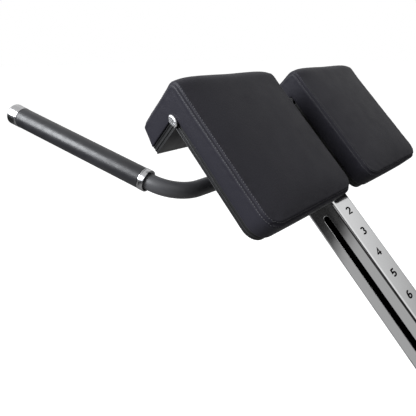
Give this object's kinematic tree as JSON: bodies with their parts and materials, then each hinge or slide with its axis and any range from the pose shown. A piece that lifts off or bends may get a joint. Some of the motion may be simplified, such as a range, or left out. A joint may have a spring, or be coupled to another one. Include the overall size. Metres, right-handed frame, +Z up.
{
  "type": "roman chair",
  "caption": "45 degree back extension bench: split hip pads and a handlebar on a sliding numbered post, ankle rollers on a mast, an inclined foot plate and an I-shaped floor base.",
  "frame": {"origin": "on the floor, at the centre of the whole machine's box", "axes": "+Y forward, from the foot plate towards the handles; +X to the user's right; +Z up"},
  "size_m": [0.7672, 1.3044, 1.0263],
  "materials": {
    "black_powder_coat": "satin",
    "chrome": "polished",
    "black_leatherette": "satin",
    "pad_backing": "satin",
    "black_rubber": "matte",
    "roller_foam": "matte",
    "black_plastic": "satin",
    "zinc_steel": "satin",
    "polished_aluminium": "polished"
  },
  "bodies": {
    "base": {"base_beam": "black_powder_coat", "front_foot_tube": "black_powder_coat", "rear_foot_tube": "black_powder_coat", "front_shoe_left": "black_rubber", "front_shoe_right": "black_rubber", "rear_shoe_left": "black_rubber", "rear_shoe_right": "black_rubber", "front_strut": "black_powder_coat", "lower_strut": "black_powder_coat", "rear_strut": "black_powder_coat", "post_sleeve": "black_powder_coat", "sleeve_liner": "black_plastic", "sleeve_flange": "black_powder_coat", "guide_bolt": "zinc_steel", "pin_housing": "zinc_steel", "roller_mast": "black_powder_coat", "mast_cap": "black_plastic", "lower_axle": "chrome", "upper_axle": "chrome", "lower_disc_left": "chrome", "lower_disc_right": "chrome", "upper_disc_left": "chrome", "upper_disc_right": "chrome", "foot_plate": "black_powder_coat", "foot_mat_left": "black_rubber", "foot_mat_right": "black_rubber"},
    "post": {"adjustment_post": "chrome", "post_top_cap": "black_plastic", "post_glide": "black_plastic", "lower_cross_plate": "black_powder_coat", "upper_cross_plate": "black_powder_coat", "pad_board_left": "pad_backing", "pad_board_right": "pad_backing", "flap_board_left": "pad_backing", "flap_board_right": "pad_backing", "corner_rod_left": "black_powder_coat", "corner_rod_right": "black_powder_coat", "corner_cap_left": "polished_aluminium", "corner_cap_right": "polished_aluminium", "hip_pad_left": "black_leatherette", "hip_pad_right": "black_leatherette", "handlebar": "black_powder_coat", "handle_saddle": "black_powder_coat", "grip_left": "black_rubber", "grip_right": "black_rubber", "inner_ring_left": "polished_aluminium", "inner_ring_right": "polished_aluminium", "end_ring_left": "polished_aluminium", "end_ring_right": "polished_aluminium", "bar_end_plug_left": "black_plastic", "bar_end_plug_right": "black_plastic"},
    "pin": {"pin_plunger": "zinc_steel", "pin_knob": "black_plastic", "pin_spring": "zinc_steel"},
    "lower_roller_left": {"lower_roller_left": "roller_foam"},
    "lower_roller_right": {"lower_roller_right": "roller_foam"},
    "upper_roller_left": {"upper_roller_left": "roller_foam"},
    "upper_roller_right": {"upper_roller_right": "roller_foam"}
  },
  "joints": [
    {"name": "post_slide", "type": "slide", "parent": "base", "child": "post", "axis": [0, 0.7071, 0.7071], "range_m": [-0.308, 0.044]},
    {"name": "pin_pull", "type": "slide", "parent": "base", "child": "pin", "axis": [1, 0, 0], "range_m": [0, 0.007], "stiffness_N_per_m": 1200, "springref_m": -0.006, "deforming": ["pin_spring"]},
    {"name": "lower_roller_left_spin", "type": "hinge", "parent": "base", "child": "lower_roller_left", "pos_m": [-0.1145, -0.35224, 0.3636], "axis": [1, 0, 0], "continuous": true},
    {"name": "lower_roller_right_spin", "type": "hinge", "parent": "base", "child": "lower_roller_right", "pos_m": [0.1145, -0.35224, 0.3636], "axis": [1, 0, 0], "continuous": true},
    {"name": "upper_roller_left_spin", "type": "hinge", "parent": "base", "child": "upper_roller_left", "pos_m": [-0.1145, -0.4972, 0.50856], "axis": [1, 0, 0], "continuous": true},
    {"name": "upper_roller_right_spin", "type": "hinge", "parent": "base", "child": "upper_roller_right", "pos_m": [0.1145, -0.4972, 0.50856], "axis": [1, 0, 0], "continuous": true}
  ]
}
